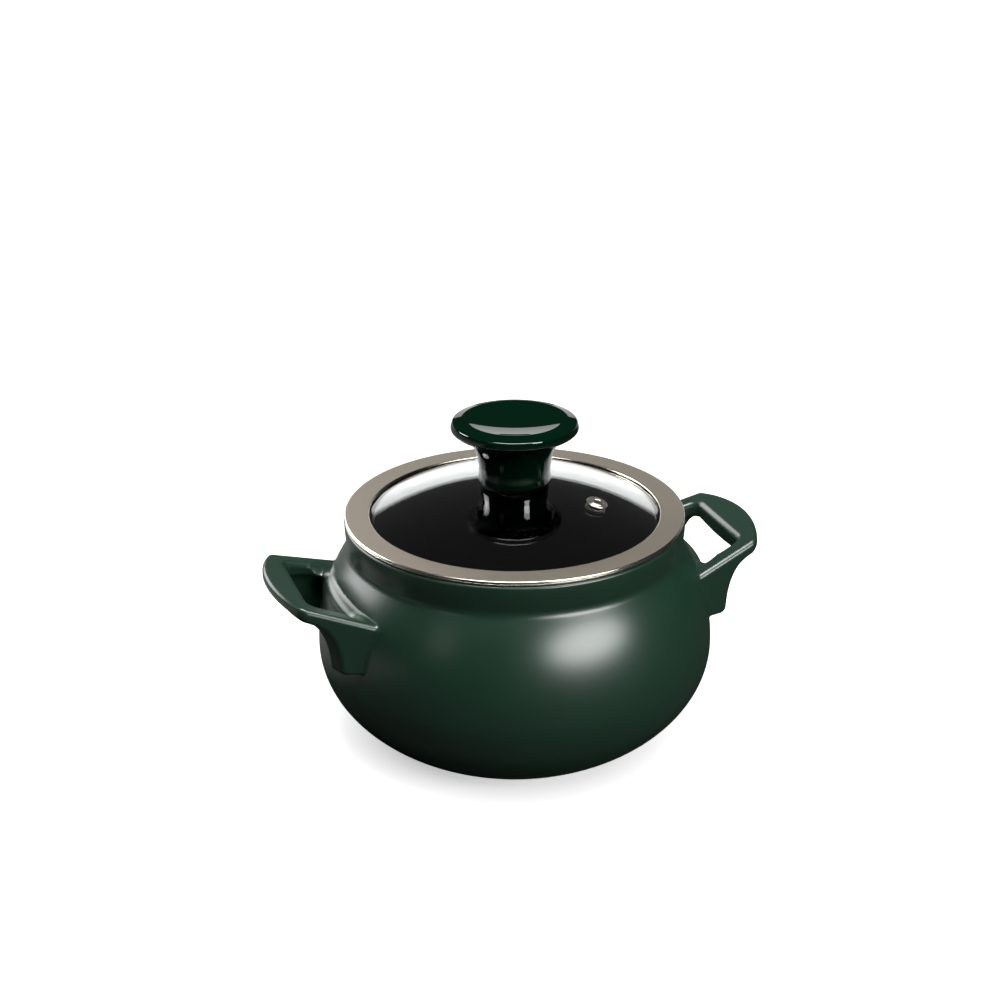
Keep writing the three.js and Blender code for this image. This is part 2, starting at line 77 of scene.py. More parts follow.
HANDLE_TIP = outer("right_handle")[1].x
HANDLE_BULGE = 9.1
HANDLE_CORNER_HEIGHT = 101.5
HANDLE_TILT = math.radians(19.1)
HANDLE_TIP_HALF = 34.5
HANDLE_CORNER_ROUND = 2.5
ARM_SPLAY = math.radians(11.9)
ARM_WIDTH = 10.0
GRIP_WIDTH = 15.0
PLATE_THICKNESS = 6.2
WEDGE_SLOPE = 0.27
HOLE_ROUND = 4.0
LEDGE_RADIUS = 98.5
LEDGE_CORNER_ROUND = 9.0
LEDGE_BLEND = 6.0
TOP_EDGE_ROUND = 2.8
HOLE_EDGE_ROUND = 2.8
LEDGE_EDGE_ROUND = 9.5
UNDER_EDGE_ROUND = 1.6
CORBEL_THICKNESS = 8.0
CORBEL_SETBACK = 4.0
CORBEL_TURN = math.radians(27)
CORBEL_FOOT_HEIGHT = 64.0
CORBEL_FOOT_REACH = 6.2
CORBEL_FOOT_ROUND = 3.0
CORBEL_FILLET = 3.0
CORBEL_FOOT_LEAN = 0.05
CORBEL_FOOT_RISE = 0.6
CORBEL_HEAD_BACK = 0.4
CORBEL_HEAD_DROP = 0.25
ROOT_FILLET = 1.4
ROOT_SINK = 0.05
ROOT_DEPTH = 0.6

# The grid in which a handle's skin is found
HANDLE_CELL = 0.5
HANDLE_INNER = 77.0
HANDLE_SIDE = 48.0
HANDLE_UNDER = 61.0
HANDLE_OVER = 107.5

BAND_TOP = outer("lid_rim_band")[1].z
BAND_OUTER = outer("lid_rim_band")[1].x
BAND_FOLD_UNDER = outer("lid_rim_band")[0].z
BAND_FLANGE = 2.4
BAND_SHEET = 1.0
BAND_ROUND = 0.7
FOLD_WIDTH = 2.8
GLASS_RADIUS = outer("lid_glass")[1].x
GLASS_TOP = outer("lid_glass")[1].z
GLASS_THICKNESS = 4.0
GLASS_COVER = 3.2
GLASS_HOLE_RADIUS = 4.5

VENT_DISTANCE = 43.8
VENT_ANGLE = math.radians(-41.8)
VENT_FLANGE_RADIUS = 5.3
VENT_FLANGE = 1.4
VENT_BARREL_RADIUS = 3.0
VENT_BORE_RADIUS = 2.0
VENT_COLLAR = 1.3
VENT_COLLAR_FOOT = 1.8
VENT_COLLAR_HEIGHT = 0.6
VENT_FLANGE_DROP = 0.35
VENT_WASHER_RADIUS = 5.0
VENT_WASHER = 0.8
VENT_CLINCH_RADIUS = 4.0
VENT_CLINCH = 0.7

KNOB_BASE = outer("knob")[0].z
KNOB_TOP = outer("knob")[1].z
KNOB_CAP_RADIUS = outer("knob")[1].x
KNOB_WAIST_RADIUS = 18.2
KNOB_WAIST_HEIGHT = 4.0
KNOB_FLARE = 2.4
KNOB_RIM = 7.6
KNOB_RIM_ROUND = 5.6
KNOB_RIM_OVER = 4.4
KNOB_RIM_UNDER = 2.8
KNOB_RIM_START = math.radians(-62)
KNOB_RIDGE_INSET = 0.7
KNOB_RIDGE_DROP = 1.5
KNOB_RIDGE_ROUND = 0.8
KNOB_CREST_ROUND = 2.5
KNOB_DISH_RADIUS = 24.0
KNOB_DISH = 2.5
KNOB_DISH_ROUND = 3.5
KNOB_BORE_DEPTH = 16.0

INSERT_RADIUS = outer("knob_insert")[1].x
SCREW_RADIUS = 2.5
SCREW_TOP = outer("knob_screw")[1].z
SCREW_UNDER = outer("knob_screw")[0].z
SCREW_HEAD = 3.2
SCREW_HEAD_RADIUS = 5.0
SCREW_HEAD_SIDE = 1.0
SCREW_SHANK = 4.0
SCREW_BEVEL = 0.6
RECESS_LENGTH = 5.4
RECESS_WIDTH = 1.1
RECESS_DEPTH = 1.6

# Places that follow from the sizes above
shoulder_arc = (SHOULDER_RISE**2 + (BELLY_RADIUS - NECK_RADIUS) ** 2) / (2 * (BELLY_RADIUS - NECK_RADIUS))
shoulder_middle = BELLY_RADIUS - shoulder_arc
under_depth = BELLY_HEIGHT / math.sqrt(1 - (FOOT_RADIUS / BELLY_RADIUS) ** 2)
fillet_middle = NECK_RADIUS + NECK_FILLET
fillet_height = BELLY_HEIGHT + math.sqrt(
    (shoulder_arc + NECK_FILLET) ** 2 - (fillet_middle - shoulder_middle) ** 2
)
shoulder_angle = math.atan2(fillet_height - BELLY_HEIGHT, fillet_middle - shoulder_middle)
lip_under = RIM_HEIGHT - LIP_ROUND
mouth_radius = NECK_RADIUS - WALL

band_inner = GLASS_RADIUS - GLASS_COVER
glass_edge_top = BAND_TOP - BAND_SHEET - GAP
glass_edge_under = glass_edge_top - GLASS_THICKNESS
dome_rise = GLASS_TOP - glass_edge_top
dome_radius = (band_inner**2 + dome_rise**2) / (2 * dome_rise)
dome_middle = GLASS_TOP - dome_radius
dome_under = dome_radius - GLASS_THICKNESS
screw_hole = SCREW_RADIUS + GAP

scene = bpy.context.scene


def linear(code):
    """An sRGB colour such as "#304d3f" as linear RGBA."""
    parts = [int(code[i : i + 2], 16) / 255 for i in (1, 3, 5)]
    return [p / 12.92 if p <= 0.04045 else ((p + 0.055) / 1.055) ** 2.4 for p in parts] + [1.0]


def add(tree, kind, inputs=None, **settings):
    """Adds a node with its settings, and gives its inputs plain values or links from other nodes."""
    node = tree.nodes.new(kind)
    for name, value in settings.items():
        setattr(node, name, value)
    for name, value in (inputs or {}).items():
        if isinstance(value, bpy.types.NodeSocket):
            tree.links.new(value, node.inputs[name])
        else:
            node.inputs[name].default_value = value
    return node


def new_material(name):
    """An empty material and its node tree."""
    material = bpy.data.materials.new(name)
    material.use_nodes = True
    material.node_tree.nodes.clear()
    return material, material.node_tree


# Materials


def glaze(name, dark, light, roughness, specular):
    """A coloured glaze on stoneware. Its depth varies slightly where it ran thicker or thinner in the kiln,
    and a faint ripple like orange peel breaks the mirror of its surface."""
    mottle_size = 24.0
    ripple_size = 4.0
    material, tree = new_material(name)
    place = add(tree, "ShaderNodeTexCoord").outputs["Object"]
    mottle = add(
        tree,
        "ShaderNodeTexNoise",
        {"Vector": place, "Scale": 1 / (mottle_size * MM), "Detail": 1.0},
    )
    colour = add(
        tree,
        "ShaderNodeMix",
        {0: mottle.outputs["Fac"], 6: linear(dark), 7: linear(light)},
        data_type="RGBA",
    )
    ripple = add(
        tree, "ShaderNodeTexNoise", {"Vector": place, "Scale": 1 / (ripple_size * MM), "Detail": 0.0}
    )
    bump = add(
        tree,
        "ShaderNodeBump",
        {"Height": ripple.outputs["Fac"], "Strength": 0.1, "Distance": 0.02 * MM},
    )
    shader = add(
        tree,
        "ShaderNodeBsdfPrincipled",
        {
            "Base Color": colour.outputs[2],
            "Roughness": roughness,
            "Normal": bump.outputs["Normal"],
            "IOR": 1.5,
            "Specular IOR Level": specular,
        },
    )
    add(tree, "ShaderNodeOutputMaterial", {"Surface": shader.outputs["BSDF"]})
    return material


def bare_stoneware():
    """Fired clay without glaze on the foot ring: pale, dry and speckled with coarser grit."""
    grit_size = 1.4
    material, tree = new_material("bare_stoneware")
    place = add(tree, "ShaderNodeTexCoord").outputs["Object"]
    grit = add(
        tree, "ShaderNodeTexNoise", {"Vector": place, "Scale": 1 / (grit_size * MM), "Detail": 3.0}
    )
    colour = add(
        tree,
        "ShaderNodeMix",
        {0: grit.outputs["Fac"], 6: linear("#a8937a"), 7: linear("#c9b89f")},
        data_type="RGBA",
    )
    bump = add(
        tree, "ShaderNodeBump", {"Height": grit.outputs["Fac"], "Strength": 0.3, "Distance": 0.2 * MM}
    )
    shader = add(
        tree,
        "ShaderNodeBsdfPrincipled",
        {"Base Color": colour.outputs[2], "Roughness": 0.85, "Normal": bump.outputs["Normal"]},
    )
    add(tree, "ShaderNodeOutputMaterial", {"Surface": shader.outputs["BSDF"]})
    return material


def tempered_glass():
    """Soda-lime glass, pressed and fire-polished: clear, with a trace of green where it is thick."""
    material, tree = new_material("tempered_soda_lime_glass")
    shader = add(
        tree,
        "ShaderNodeBsdfPrincipled",
        {
            "Base Color": linear("#f4faf7"),
            "Roughness": 0.0,
            "IOR": 1.5,
            "Transmission Weight": 1.0,
        },
    )
    add(tree, "ShaderNodeOutputMaterial", {"Surface": shader.outputs["BSDF"]})
    return material


def turned_metal(name, dark, light, roughness, line_size):
    """Metal turned or polished on a lathe: fine rings round the axis catch the light a little differently.
    The real rings are too fine to show, so they are drawn a few tenths of a millimetre wide."""
    spread = 0.15
    material, tree = new_material(name)
    place = add(tree, "ShaderNodeTexCoord").outputs["Object"]
    flat = add(
        tree,
        "ShaderNodeVectorMath",
        {0: place, 1: (1.0, 1.0, 0.0)},
        operation="MULTIPLY",
    )
    radius = add(tree, "ShaderNodeVectorMath", {0: flat.outputs["Vector"]}, operation="LENGTH")
    rings = add(
        tree,
        "ShaderNodeTexNoise",
        {"W": radius.outputs["Value"], "Scale": 1 / (line_size * MM), "Detail": 2.0},
        noise_dimensions="1D",
    )
    colour = add(
        tree,
        "ShaderNodeMix",
        {0: rings.outputs["Fac"], 6: linear(dark), 7: linear(light)},
        data_type="RGBA",
    )
    gloss = add(
        tree,
        "ShaderNodeMapRange",
        {
            "Value": rings.outputs["Fac"],
            "To Min": roughness * (1 - spread),
            "To Max": roughness * (1 + spread),
        },
    )
    bump = add(
        tree, "ShaderNodeBump", {"Height": rings.outputs["Fac"], "Strength": 0.05, "Distance": 0.05 * MM}
    )
    shader = add(
        tree,
        "ShaderNodeBsdfPrincipled",
        {
            "Base Color": colour.outputs[2],
            "Metallic": 1.0,
            "Roughness": gloss.outputs["Result"],
            "Normal": bump.outputs["Normal"],
        },
    )
    add(tree, "ShaderNodeOutputMaterial", {"Surface": shader.outputs["BSDF"]})
    return material


def silicone_rubber():
    """Moulded black silicone: dull, with a fine dusty bloom."""
    bloom_size = 0.8
    material, tree = new_material("moulded_silicone_rubber")
    place = add(tree, "ShaderNodeTexCoord").outputs["Object"]
    bloom = add(
        tree, "ShaderNodeTexNoise", {"Vector": place, "Scale": 1 / (bloom_size * MM), "Detail": 3.0}
    )
    colour = add(
        tree,
        "ShaderNodeMix",
        {0: bloom.outputs["Fac"], 6: linear("#121212"), 7: linear("#1d1d1d")},
        data_type="RGBA",
    )
    shader = add(
        tree,
        "ShaderNodeBsdfPrincipled",
        {"Base Color": colour.outputs[2], "Roughness": 0.6, "IOR": 1.41},
    )
    add(tree, "ShaderNodeOutputMaterial", {"Surface": shader.outputs["BSDF"]})
    return material


# A soft, broad highlight on the pot, a mirror on the knob, and plain black inside
satin_glaze = glaze("satin_green_glaze", "#153023", "#183426", 0.3, 1.0)
gloss_glaze = glaze("gloss_green_glaze", "#00170c", "#00190d", 0.02, 1.0)
liner_glaze = glaze("black_liner_glaze", "#0c0c0c", "#121212", 0.2, 0.5)
clay = bare_stoneware()

# Clear glass, a dull warm ring with bright rolled edges, bright small parts, dull yellow and dull black
glass = tempered_glass()
brushed_steel = turned_metal("turned_stainless_steel", "#c8bfae", "#d2c8b9", 0.45, 0.45)
rolled_steel = turned_metal("polished_stainless_steel", "#e6dfd0", "#eee7da", 0.2, 0.3)
pressed_steel = turned_metal("pressed_stainless_steel", "#ebe5d8", "#f2ede2", 0.3, 0.3)
brass = turned_metal("turned_brass", "#a9853f", "#bb9750", 0.3, 0.3)
silicone = silicone_rubber()


# Turned pieces


def turning_tree():
    """A tree that turns a section line about Z.
    Each column of a grid takes the line's points at its own angle."""
    tree = bpy.data.node_groups.new("turned_piece", "GeometryNodeTree")
    kinds = {"Section": "Geometry", "Facets": "Int", "Points": "Int", "Finish": "Material"}
    for label, kind in kinds.items():
        tree.interface.new_socket(label, in_out="INPUT", socket_type="NodeSocket" + kind)
    tree.interface.new_socket("Piece", in_out="OUTPUT", socket_type="NodeSocketGeometry")
    sizes = add(tree, "NodeGroupInput").outputs
    columns = add(tree, "ShaderNodeMath", {0: sizes["Facets"], 1: 1.0}, operation="ADD")
    grid = add(
        tree,
        "GeometryNodeMeshGrid",
        {"Vertices X": columns.outputs["Value"], "Vertices Y": sizes["Points"]},
    )
    index = add(tree, "GeometryNodeInputIndex").outputs["Index"]
    row = add(tree, "FunctionNodeIntegerMath", {0: index, 1: sizes["Points"]}, operation="MODULO")
    column = add(tree, "FunctionNodeIntegerMath", {0: index, 1: sizes["Points"]}, operation="DIVIDE_FLOOR")
    place = add(tree, "GeometryNodeInputPosition").outputs["Position"]
    sample = add(
        tree,
        "GeometryNodeSampleIndex",
        {"Geometry": sizes["Section"], "Value": place, "Index": row.outputs["Value"]},
        data_type="FLOAT_VECTOR",
    )
    share = add(
        tree, "ShaderNodeMath", {0: column.outputs["Value"], 1: sizes["Facets"]}, operation="DIVIDE"
    )
    angle = add(tree, "ShaderNodeMath", {0: share.outputs["Value"], 1: 2 * math.pi}, operation="MULTIPLY")
    swung = add(
        tree,
        "ShaderNodeVectorRotate",
        {"Vector": sample.outputs["Value"], "Angle": angle.outputs["Value"]},
        rotation_type="Z_AXIS",
    )
    shell = add(
        tree,
        "GeometryNodeSetPosition",
        {"Geometry": grid.outputs["Mesh"], "Position": swung.outputs["Vector"]},
    )
    closed = add(
        tree, "GeometryNodeMergeByDistance", {"Geometry": shell.outputs["Geometry"], "Distance": 0.001 * MM}
    )
    smooth = add(tree, "GeometryNodeSetShadeSmooth", {"Geometry": closed.outputs["Geometry"]})
    real = add(tree, "GeometryNodeRealizeInstances", {"Geometry": smooth.outputs["Geometry"]})
    painted = add(
        tree, "GeometryNodeSetMaterial", {"Geometry": real.outputs["Geometry"], "Material": sizes["Finish"]}
    )
    add(tree, "NodeGroupOutput", {"Piece": painted.outputs["Geometry"]})
    return tree


TURNING = turning_tree()


def settle(piece):
    """Makes what a piece's modifiers give its plain mesh."""
    depsgraph = bpy.context.evaluated_depsgraph_get()
    piece.data = bpy.data.meshes.new_from_object(piece.evaluated_get(depsgraph), depsgraph=depsgraph)
    piece.data.name = piece.name
    piece.modifiers.clear()
    return piece


def turned(name, section, facets, finish):
    """A piece turned from a section of (radius, height) points that runs upwards along its outside."""
    mesh = bpy.data.meshes.new(name)
    mesh.from_pydata([(r * MM, 0, z * MM) for r, z in section], [], [])
    piece = bpy.data.objects.new(name, mesh)
    scene.collection.objects.link(piece)
    modifier = piece.modifiers.new("turned_piece", "NODES")
    modifier.node_group = TURNING
    for label, value in (("Facets", facets), ("Points", len(section)), ("Finish", finish)):
        modifier[TURNING.interface.items_tree[label].identifier] = value
    return settle(piece)


def arc(middle, height, radius, start, end, steps, upright=None):
    """Points along a circle, or along an ellipse with its own upright radius."""
    upright = radius if upright is None else upright
    angles = np.linspace(start, end, steps + 1)
    return [(middle + radius * math.cos(a), height + upright * math.sin(a)) for a in angles]


def bent(knots, steps):
    """Points along a cubic curve from the first to the last of four knots."""
    t = np.linspace(0, 1, steps + 1)[:, None]
    return (
        (1 - t) ** 3 * knots[0]
        + 3 * (1 - t) ** 2 * t * knots[1]
        + 3 * (1 - t) * t**2 * knots[2]
        + t**3 * knots[3]
    )


def dome(radius, start, end, steps):
    """Points on the sphere of the glass, from one distance off the axis to another."""
    return [(r, dome_middle + math.sqrt(radius**2 - r**2)) for r in np.linspace(start, end, steps + 1)]


def rounded(corners, closed=True, steps=7):
    """A section line with its corners, given as (radius, height, rounding), turned into arcs.
    A point close to each end of an arc keeps the flats beside it flat in the shading."""
    margin = 1.15
    points = []
    for i, (r, z, rounding) in enumerate(corners):
        corner = np.array((r, z))
        if rounding == 0:
            points.append(tuple(corner))
            continue
        back = np.array(corners[i - 1][:2]) - corner
        ahead = np.array(corners[(i + 1) % len(corners)][:2]) - corner
        back /= np.linalg.norm(back)
        ahead /= np.linalg.norm(ahead)
        half = math.acos(back @ ahead) / 2
        reach = rounding / math.tan(half)
        middle = corner + (back + ahead) / np.linalg.norm(back + ahead) * rounding / math.sin(half)
        start = corner + back * reach - middle
        end = corner + ahead * reach - middle
        sweep = math.pi - 2 * half
        points.append(tuple(corner + back * reach * margin))
        for share in np.linspace(0, 1, steps + 1):
            swing = start * math.sin((1 - share) * sweep) + end * math.sin(share * sweep)
            points.append(tuple(middle + swing / math.sin(sweep)))
        points.append(tuple(corner + ahead * reach * margin))
    return points + points[:1] if closed else points


def faces(piece):
    """Centres in millimetres and normals of a piece's faces."""
    count = len(piece.data.polygons)
    centres = np.empty(count * 3)
    normals = np.empty(count * 3)
    piece.data.polygons.foreach_get("center", centres)
    piece.data.polygons.foreach_get("normal", normals)
    return centres.reshape(-1, 3) / MM, normals.reshape(-1, 3)


def repaint(piece, finish, chosen):
    """Gives the chosen faces of a piece another finish."""
    indices = np.empty(len(chosen), dtype=np.int32)
    piece.data.polygons.foreach_get("material_index", indices)
    indices[chosen] = len(piece.data.materials)
    piece.data.materials.append(finish)
    piece.data.polygons.foreach_set("material_index", indices)


def cut(piece, cutter):
    """Cuts another piece's shape out of a piece, and keeps the new edges crisp."""
    modifier = piece.modifiers.new("cut", "BOOLEAN")
    modifier.operation = "DIFFERENCE"
    modifier.solver = "EXACT"
    modifier.object = cutter
    settle(piece)
    bpy.data.objects.remove(cutter)
    piece.data.set_sharp_from_angle(angle=math.radians(35))


def pot_body():
    """The vessel, with green glaze outside, black glaze inside and bare clay under the foot ring."""
    foot_inner = FOOT_RADIUS - FOOT_WIDTH
    foot_angle = math.asin(-BELLY_HEIGHT / under_depth)
    inner_depth = under_depth - WALL
    floor_angle = math.asin((POT_FLOOR - BELLY_HEIGHT) / inner_depth)
    rise = lip_under - fillet_height
    collar = [
        (NECK_RADIUS + COLLAR_BULGE * math.sin(t * math.pi / 2), fillet_height + rise * t)
        for t in np.linspace(0, 1, 13)
    ]
    foot = rounded(
        [
            (0, FOOT_RECESS, 0),
            (foot_inner - FOOT_RECESS, FOOT_RECESS, FOOT_ROUND),
            (foot_inner, 0, FOOT_ROUND),
            (FOOT_RADIUS - FOOT_BEVEL, 0, FOOT_BEVEL_ROUND),
            (FOOT_RADIUS, FOOT_BEVEL_HEIGHT, 0),
        ],
        closed=False,
    )
    section = [
        *foot,
        *arc(0, BELLY_HEIGHT, BELLY_RADIUS, foot_angle, 0, 30, under_depth)[1:],
        *arc(shoulder_middle, BELLY_HEIGHT, shoulder_arc, 0, shoulder_angle, 22)[1:],
        *arc(fillet_middle, fillet_height, NECK_FILLET, shoulder_angle + math.pi, math.pi, 8)[1:],
        *collar[1:],
        *arc(NECK_RADIUS + COLLAR_BULGE - LIP_ROUND, lip_under, LIP_ROUND, 0, math.pi / 2, 8)[1:],
        *arc(mouth_radius + LIP_ROUND, lip_under, LIP_ROUND, math.pi / 2, math.pi, 8),
        *arc(fillet_middle, fillet_height, NECK_FILLET + WALL, math.pi, shoulder_angle + math.pi, 10),
        *arc(shoulder_middle, BELLY_HEIGHT, shoulder_arc - WALL, shoulder_angle, 0, 16)[1:],
        *arc(0, BELLY_HEIGHT, BELLY_RADIUS - WALL, 0, floor_angle, 20, inner_depth)[1:],
        (0, POT_FLOOR),
    ]
    piece = turned("stoneware_body", section, 288, satin_glaze)
    centres, normals = faces(piece)
    outwards = np.einsum("ij,ij->i", normals[:, :2], centres[:, :2])
    # The flat top of the lip faces neither in nor out and stays green
    lip_margin = 1.0
    level = 0.1
    inside = (outwards < -lip_margin) & (centres[:, 2] > POT_FLOOR)
    bottom = (np.abs(centres[:, 2] - POT_FLOOR) < level) & (normals[:, 2] > 0)
    repaint(piece, liner_glaze, inside | bottom)
    repaint(piece, clay, (centres[:, 2] < BARE_HEIGHT) & (normals[:, 2] < 0))
    return piece


# Handles: a distance field in millimetres for one on the +X side, and a skin of quads over it


def round_max(a, b, radius):
    """Where two fields overlap, with a rounded edge."""
    corner = np.hypot(np.maximum(a + radius, 0), np.maximum(b + radius, 0))
    return np.minimum(np.maximum(a, b), -radius) + corner


def smooth_min(a, b, reach):
    """Two fields together, with a fillet between them."""
    share = np.maximum(reach - np.abs(a - b), 0) / reach
    return np.minimum(a, b) - share**2 * reach / 4


def pot_field(x, y, z):
    """The belly above its widest line."""
    return np.hypot(np.hypot(x, y) - shoulder_middle, z - BELLY_HEIGHT) - shoulder_arc


def handle_shape():
    """The field of one handle: a plate with a finger hole that climbs outwards, thicker towards the hole,
    with a corbel under each arm and a fillet where it was joined to the pot with slip."""
    corner_x = HANDLE_TIP - HANDLE_BULGE
    grip_x = HANDLE_TIP - GRIP_WIDTH
    bow_radius = (HANDLE_TIP_HALF**2 + HANDLE_BULGE**2) / (2 * HANDLE_BULGE)
    bow_middle = HANDLE_TIP - bow_radius
    ledge_x = math.sqrt(LEDGE_RADIUS**2 - (HANDLE_TIP_HALF - ARM_WIDTH) ** 2)
    climb = math.tan(HANDLE_TILT)
    lean = math.cos(HANDLE_TILT)
    splay = math.cos(ARM_SPLAY)
    turn = math.tan(CORBEL_TURN)
    stretch = math.hypot(1 / splay + turn * math.sin(ARM_SPLAY), turn * splay)

    def plate_top(x):
        return HANDLE_CORNER_HEIGHT + (x - corner_x) * climb

    # The corbel's hollow sweep as a reach for each height
    head_x = corner_x - CORBEL_SETBACK
    head_z = plate_top(head_x) - PLATE_THICKNESS
    foot_x = math.sqrt((BELLY_RADIUS + CORBEL_FOOT_REACH) ** 2 - HANDLE_TIP_HALF**2)
    reach = head_x - foot_x
    rise = head_z - CORBEL_FOOT_HEIGHT
    knots = np.array(
        [
            (foot_x, CORBEL_FOOT_HEIGHT + CORBEL_FOOT_ROUND),
            (foot_x + CORBEL_FOOT_LEAN * reach, CORBEL_FOOT_HEIGHT + CORBEL_FOOT_RISE * rise),
            (foot_x + CORBEL_HEAD_BACK * reach, head_z - CORBEL_HEAD_DROP * reach),
            (head_x, head_z),
        ]
    )
    curve = bent(knots, 79)
    slope = np.gradient(curve[:, 0], curve[:, 1])

    def field(x, y, z):
        arm = (np.abs(y) - HANDLE_TIP_HALF - (corner_x - x) * math.tan(ARM_SPLAY)) * splay
        bow = np.hypot(x - bow_middle, y) - bow_radius
        outline = round_max(arm, bow, HANDLE_CORNER_ROUND)
        hole = round_max(arm + ARM_WIDTH * splay, x - grip_x, HOLE_ROUND)
        ledge = np.hypot(x, y) - LEDGE_RADIUS
        hole = round_max(hole, -ledge, LEDGE_CORNER_ROUND)
        beside = np.clip(1 - ledge / LEDGE_BLEND, 0, 1)
        hole_edge = HOLE_EDGE_ROUND + (LEDGE_EDGE_ROUND - HOLE_EDGE_ROUND) * beside
        top = (z - plate_top(x)) * lean
        inward = np.clip(smooth_min(-arm, -bow, HANDLE_CORNER_ROUND), 0, GRIP_WIDTH)
        fade = np.clip((x - ledge_x) / (grip_x - ledge_x), 0, 1)
        under = (plate_top(x) - PLATE_THICKNESS - WEDGE_SLOPE * inward * fade - z) * lean
        along = corner_x + (x - corner_x) / splay + arm * turn
        sweep = along - np.interp(z, curve[:, 1], curve[:, 0])
        sweep = sweep / np.sqrt(stretch**2 + np.interp(z, curve[:, 1], slope) ** 2)
        corbel = round_max(sweep, CORBEL_FOOT_HEIGHT - z, CORBEL_FOOT_ROUND)
        corbel = round_max(corbel, -arm - CORBEL_THICKNESS, UNDER_EDGE_ROUND)
        lower = smooth_min(under, corbel, CORBEL_FILLET)
        slab = round_max(outline, top, TOP_EDGE_ROUND)
        loop = round_max(round_max(slab, -hole, hole_edge), lower, UNDER_EDGE_ROUND)
        root = round_max(slab, ledge, LEDGE_EDGE_ROUND)
        loop = np.minimum(loop, root)
        belly = pot_field(x, y, z)
        joined = smooth_min(loop, belly + ROOT_SINK, ROOT_FILLET)
        joined = np.maximum(joined, loop - ROOT_FILLET)
        return np.maximum(joined, -ROOT_DEPTH - belly)

    return field


def skin(field, low, high, cell):
    """Points and quads of a skin over a field. Each cell of a grid that the surface crosses gets a point,
    which is drawn onto the surface, and each crossed edge of the grid gets a quad round it."""
    axes = [np.arange(a, b + cell, cell) for a, b in zip(low, high)]
    values = field(*np.meshgrid(*axes, indexing="ij"))
    shape = tuple(n - 1 for n in values.shape)
    total = np.zeros(shape + (3,))
    count = np.zeros(shape)
    crossings = []
    for axis in range(3):
        first = values.take(range(shape[axis]), axis)
        second = values.take(range(1, shape[axis] + 1), axis)
        crossed = (first < 0) != (second < 0)
        share = np.where(crossed, first / np.where(crossed, first - second, 1), 0)
        crossings.append((crossed, first < 0))
        sides = [a for a in range(3) if a != axis]
        for step_a in (0, 1):
            for step_b in (0, 1):
                window = [slice(None)] * 3
                window[sides[0]] = slice(step_a, step_a + shape[sides[0]])
                window[sides[1]] = slice(step_b, step_b + shape[sides[1]])
                hit = crossed[tuple(window)]
                count += hit
                total[..., axis] += share[tuple(window)]
                total[..., sides[0]] += hit * step_a
                total[..., sides[1]] += hit * step_b
    used = count > 0
    cells = np.argwhere(used)
    points = np.array(low) + cell * (cells + total[used] / count[used][:, None])
    number = np.full(shape, -1)
    number[used] = np.arange(len(cells))
    quads = []
    for axis, (crossed, leaving) in enumerate(crossings):
        side_a, side_b = (axis + 1) % 3, (axis + 2) % 3
        edges = np.argwhere(crossed)
        inner = np.all(edges[:, [side_a, side_b]] > 0, axis=1)
        inner &= (edges[:, side_a] < shape[side_a]) & (edges[:, side_b] < shape[side_b])
        edges = edges[inner]
        outwards = leaving[tuple(edges.T)]
        corners = []
        for back_a, back_b in ((1, 1), (0, 1), (0, 0), (1, 0)):
            neighbour = edges.copy()
            neighbour[:, side_a] -= back_a
            neighbour[:, side_b] -= back_b
            corners.append(number[tuple(neighbour.T)])
        corners = np.stack(corners, axis=1)
        quads.append(np.where(outwards[:, None], corners, corners[:, ::-1]))
    step = 0.02
    flattest = 0.2
    for _ in range(4):
        value = field(*points.T)
        rises = [field(*(points + step * d).T) - field(*(points - step * d).T) for d in np.eye(3)]
        slope = np.stack(rises, axis=1) / (2 * step)
        move = slope * (value / np.maximum((slope**2).sum(axis=1), flattest))[:, None]
        points = points - np.clip(move, -cell / 2, cell / 2)
    return points, np.concatenate(quads)


def mesh_piece(name, points, quads, finish):
    """A smooth piece from points in millimetres and quads."""
    mesh = bpy.data.meshes.new(name)
    mesh.from_pydata((points * MM).tolist(), [], quads.tolist())
    mesh.shade_smooth()
    mesh.materials.append(finish)
    piece = bpy.data.objects.new(name, mesh)
    scene.collection.objects.link(piece)
    return piece


def handles():
    """The right handle, and the left one turned half round from it."""
    low = (HANDLE_INNER, -HANDLE_SIDE, HANDLE_UNDER)
    high = (HANDLE_TIP + 1, HANDLE_SIDE, HANDLE_OVER)
    points, quads = skin(handle_shape(), low, high, HANDLE_CELL)
    right = mesh_piece("right_loop_handle", points, quads, satin_glaze)
    left = mesh_piece("left_loop_handle", points * (-1, -1, 1), quads, satin_glaze)
    return right, left


# Lid


def vent_place():
    """The move that takes a piece on the Z axis to the vent, square to the glass."""
    tilt = math.asin(VENT_DISTANCE / dome_radius)
    lift = Matrix.Translation((0, 0, dome_middle * MM))
    return lift @ Matrix.Rotation(VENT_ANGLE, 4, "Z") @ Matrix.Rotation(tilt, 4, "Y")


def glass_dome():
    """The lid's glass, with a hole for the screw and one for the vent."""
    edge_round = 0.6
    drill_half = 8
    under_edge = math.sqrt(dome_under**2 - (glass_edge_under - dome_middle) ** 2)
    section = [
        *dome(dome_under, GLASS_HOLE_RADIUS, under_edge, 40),
        *rounded(
            [
                (under_edge, glass_edge_under, 0),
                (GLASS_RADIUS, glass_edge_under, edge_round),
                (GLASS_RADIUS, glass_edge_top, edge_round),
                (band_inner, glass_edge_top, 0),
            ],
            closed=False,
        )[1:-1],
        *dome(dome_radius, band_inner, GLASS_HOLE_RADIUS, 44),
    ]
    piece = turned("glass_dome", [*section, section[0]], 224, glass)
    bore = VENT_BARREL_RADIUS + GAP
    low = dome_radius - GLASS_THICKNESS / 2 - drill_half
    high = low + 2 * drill_half
    drill = turned("vent_drill", [(0, low), (bore, low), (bore, high), (0, high)], 64, glass)
    drill.data.transform(vent_place())
    cut(piece, drill)
    return piece


